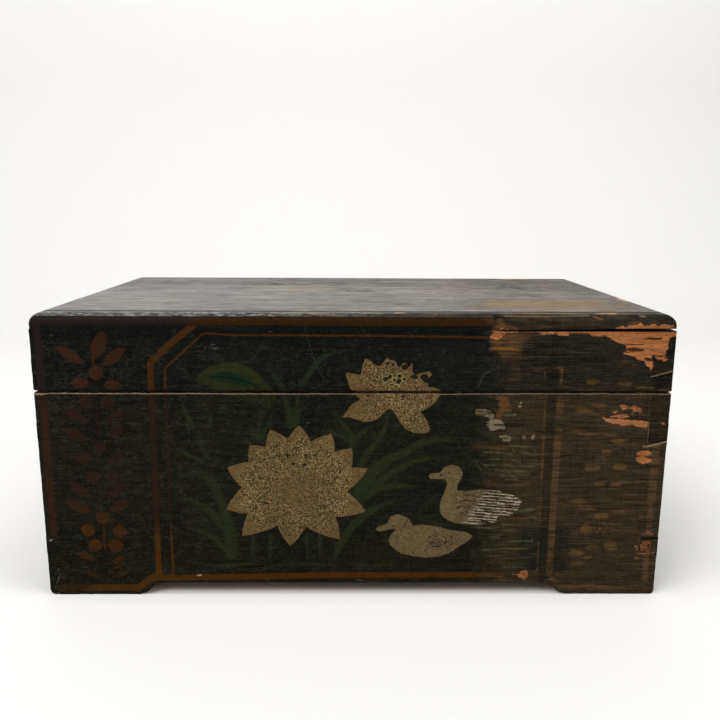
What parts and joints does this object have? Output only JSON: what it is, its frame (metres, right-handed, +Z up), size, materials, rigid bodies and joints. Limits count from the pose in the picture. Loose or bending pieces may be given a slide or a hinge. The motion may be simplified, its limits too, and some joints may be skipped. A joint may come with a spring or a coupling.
{
  "type": "deed box",
  "caption": "Lacquered wooden deed box with dovetailed corners, cut-out feet and a hinged lid, painted with a pond scene inside a border.",
  "frame": {"origin": "under the middle of the box, on the surface that its feet stand on", "axes": "+X to the right as seen from the painted front, +Y from the front to the back, +Z up"},
  "size_m": [0.48, 0.29, 0.225],
  "materials": {
    "lacquered_wood": "worn dark lacquer, satin",
    "bare_wood": "bare, aged",
    "brass": "aged, dull",
    "iron": "dark, matt"
  },
  "bodies": {
    "body": {"front_board": "lacquered_wood", "back_board": "lacquered_wood", "left_end_board": "lacquered_wood", "right_end_board": "lacquered_wood", "front_bottom_plank": "bare_wood", "rear_bottom_plank": "bare_wood", "left_hinge_body_leaf": "brass", "right_hinge_body_leaf": "brass", "left_hinge_pin": "brass", "right_hinge_pin": "brass", "body_hinge_nails": "iron"},
    "lid": {"lid_front_rail": "lacquered_wood", "lid_back_rail": "lacquered_wood", "lid_left_rail": "lacquered_wood", "lid_right_rail": "lacquered_wood", "lid_top_board": "lacquered_wood", "lid_pegs": "bare_wood", "left_hinge_lid_leaf": "brass", "right_hinge_lid_leaf": "brass", "lid_hinge_nails": "iron"}
  },
  "joints": [
    {"name": "lid_hinge", "type": "hinge", "parent": "body", "child": "lid", "pos_m": [0, 0.142, 0.1663], "axis": [-1, 0, 0], "range_deg": [0, 105]}
  ]
}
